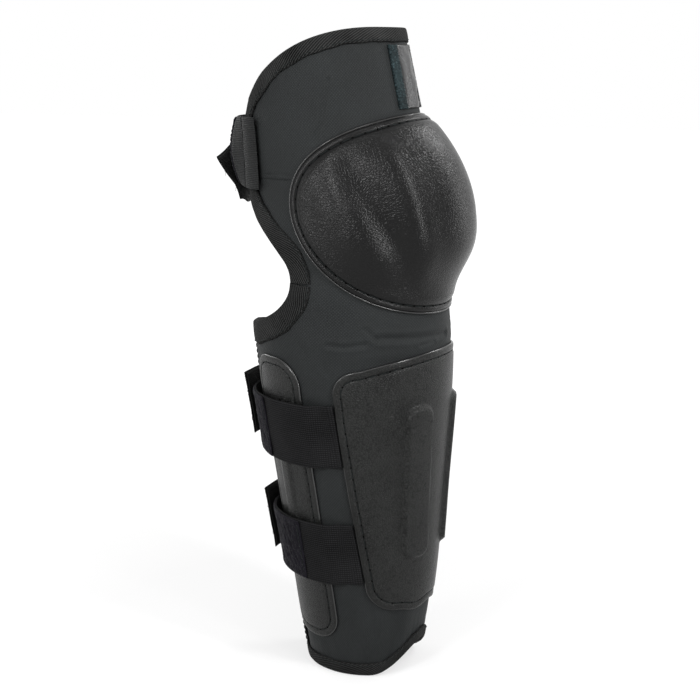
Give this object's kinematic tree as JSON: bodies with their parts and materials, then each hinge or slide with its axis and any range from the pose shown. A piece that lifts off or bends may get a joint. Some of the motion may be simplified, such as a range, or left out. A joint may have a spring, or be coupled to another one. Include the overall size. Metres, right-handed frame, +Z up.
{
  "type": "knee and shin guard",
  "caption": "Padded knee and shin guard with a domed knee cap, a ribbed shin plate, hinged calf wings and elastic hook-and-loop straps.",
  "frame": {"origin": "centre of the bounding box, on the hem that the guard stands on", "axes": "+Z up the leg, -Y towards the front of the leg, -X towards the side with the loop straps"},
  "size_m": [0.157, 0.2062, 0.5204],
  "materials": {
    "nylon_cover": "woven nylon",
    "pad_foam": "soft closed-cell foam",
    "mesh_lining": "knitted mesh",
    "binding_twill": "herringbone twill tape",
    "knee_cap_shell": "glossy, leather grain",
    "plate_shell": "satin, fine grain",
    "strap_elastic": "ribbed elastic webbing",
    "loop_pile": "fuzzy loop pile",
    "hook_tape": "hook tape",
    "front_patch_satin": "satin, left bare"
  },
  "bodies": {
    "shin": {"shin_cover": "nylon_cover", "shin_foam": "pad_foam", "shin_lining": "mesh_lining", "flex_cover": "nylon_cover", "flex_foam": "pad_foam", "flex_lining": "mesh_lining", "shin_plate": "plate_shell", "left_notch_binding": "binding_twill", "right_notch_binding": "binding_twill", "shin_hem_binding": "binding_twill"},
    "knee": {"knee_cover": "nylon_cover", "knee_foam": "pad_foam", "knee_lining": "mesh_lining", "thigh_cover": "nylon_cover", "thigh_foam": "pad_foam", "thigh_lining": "mesh_lining", "knee_cap": "knee_cap_shell", "knee_cap_foam": "pad_foam", "front_patch": "front_patch_satin", "thigh_binding": "binding_twill", "thigh_loop_strap": "strap_elastic", "thigh_loop_patch": "loop_pile", "thigh_loop_strap_end": "strap_elastic", "thigh_hook_strap_end": "strap_elastic"},
    "left_wing": {"left_calf_cover": "nylon_cover", "left_calf_foam": "pad_foam", "left_calf_lining": "mesh_lining", "left_calf_plate": "plate_shell", "left_calf_top_binding": "binding_twill", "left_calf_back_binding": "binding_twill", "left_calf_hem_binding": "binding_twill", "upper_loop_strap": "strap_elastic", "upper_loop_patch": "loop_pile", "lower_loop_strap": "strap_elastic", "lower_loop_patch": "loop_pile"},
    "right_wing": {"right_calf_cover": "nylon_cover", "right_calf_foam": "pad_foam", "right_calf_lining": "mesh_lining", "right_calf_plate": "plate_shell", "right_calf_top_binding": "binding_twill", "right_calf_back_binding": "binding_twill", "right_calf_hem_binding": "binding_twill"},
    "upper_strap": {"upper_hook_strap": "strap_elastic", "upper_hook_patch": "hook_tape"},
    "lower_strap": {"lower_hook_strap": "strap_elastic", "lower_hook_patch": "hook_tape"},
    "thigh_strap": {"thigh_hook_strap": "strap_elastic", "thigh_hook_patch": "hook_tape"}
  },
  "joints": [
    {"name": "knee_flex", "type": "hinge", "parent": "shin", "child": "knee", "pos_m": [0, -0.01347, 0.318], "axis": [-1, 0, 0], "range_deg": [-10, 30], "stiffness_Nm_per_rad": 3, "deforming": ["flex_cover", "flex_foam", "flex_lining", "left_notch_binding", "right_notch_binding"]},
    {"name": "right_wing_open", "type": "hinge", "parent": "shin", "child": "right_wing", "pos_m": [0.05232, -0.03613, 0.08383], "axis": [-0.1278, -0.1244, -0.984], "range_deg": [0, 40], "stiffness_Nm_per_rad": 1},
    {"name": "left_wing_open", "type": "hinge", "parent": "shin", "child": "left_wing", "pos_m": [-0.05232, -0.03613, 0.08383], "axis": [-0.1278, 0.1244, 0.984], "range_deg": [0, 20], "stiffness_Nm_per_rad": 1},
    {"name": "upper_strap_peel", "type": "hinge", "parent": "right_wing", "child": "upper_strap", "pos_m": [0.06609, -0.02281, 0.18284], "axis": [-0.1221, -0.1397, -0.9826], "range_deg": [0, 80]},
    {"name": "lower_strap_peel", "type": "hinge", "parent": "right_wing", "child": "lower_strap", "pos_m": [0.05309, -0.03416, 0.08433], "axis": [-0.1342, -0.1056, -0.9853], "range_deg": [0, 80]},
    {"name": "thigh_strap_peel", "type": "hinge", "parent": "knee", "child": "thigh_strap", "pos_m": [0.04697, 0.06822, 0.3969], "axis": [0.0365, -0.081, -0.996], "range_deg": [0, 80]}
  ],
  "couplings": [
    {"joint": "left_wing_open", "follows": "right_wing_open", "ratio": 0.5}
  ]
}
